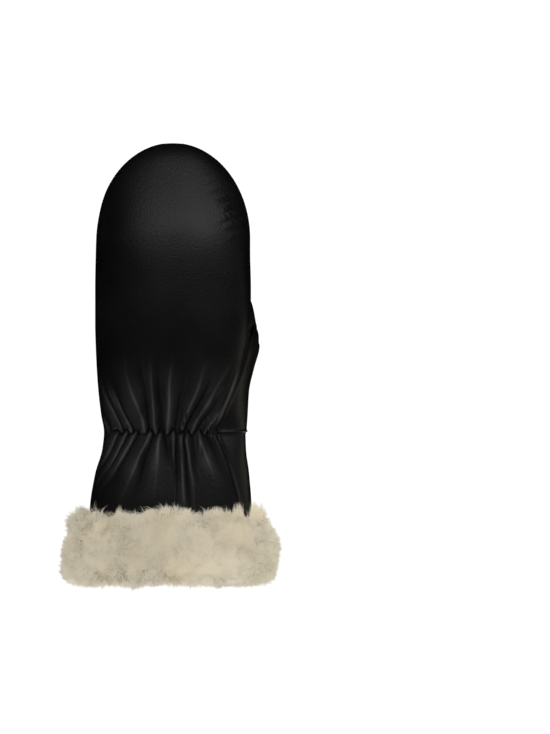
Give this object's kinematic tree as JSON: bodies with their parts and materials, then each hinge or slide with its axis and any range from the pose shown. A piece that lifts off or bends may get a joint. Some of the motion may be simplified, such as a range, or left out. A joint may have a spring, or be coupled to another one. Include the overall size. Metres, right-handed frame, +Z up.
{
  "type": "leather mitten",
  "caption": "Left-hand winter mitten in smooth dark leather, gathered at the wrist, with a pile lining turned out over the hem as a deep cuff.",
  "frame": {"origin": "middle of the footprint's bounding box, on the surface that the mitten lies on", "axes": "+Z up out of the back of the hand, +Y from the cuff's mouth to the fingertips, +X across to the thumb side"},
  "size_m": [0.158, 0.3146, 0.0699],
  "materials": {
    "leather": "smooth, softly shiny",
    "pile": "deep soft pile"
  },
  "bodies": {
    "root": {"back_panel": "leather", "palm_panel": "leather", "thumb_front": "leather", "thumb_back": "leather", "gauntlet_palm": "leather", "fleece_lining": "pile", "fleece_cuff": "pile"}
  },
  "joints": []
}
